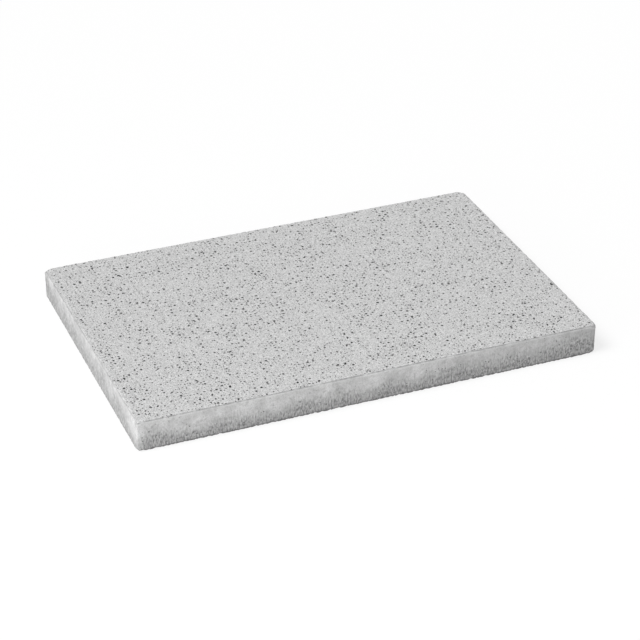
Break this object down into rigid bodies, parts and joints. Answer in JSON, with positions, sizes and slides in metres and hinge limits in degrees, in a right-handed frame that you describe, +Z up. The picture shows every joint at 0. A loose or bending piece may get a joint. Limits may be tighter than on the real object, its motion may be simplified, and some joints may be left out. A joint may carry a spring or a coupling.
{
  "type": "concrete paving slab",
  "caption": "Flat rectangular concrete paving slab with a blasted, speckled walking face, small bevelled edges and rounded corners.",
  "frame": {"origin": "centre of the underside, where the slab lies on its bed", "axes": "+X along the length, +Y across the width, +Z up through the thickness to the walking face"},
  "size_m": [0.6, 0.4, 0.04],
  "materials": {
    "concrete": "pale grey pressed concrete, walking face blasted to a fine dark speckle, sides smooth above and drag-marked below"
  },
  "bodies": {
    "root": {"paving_slab": "concrete"}
  },
  "joints": []
}
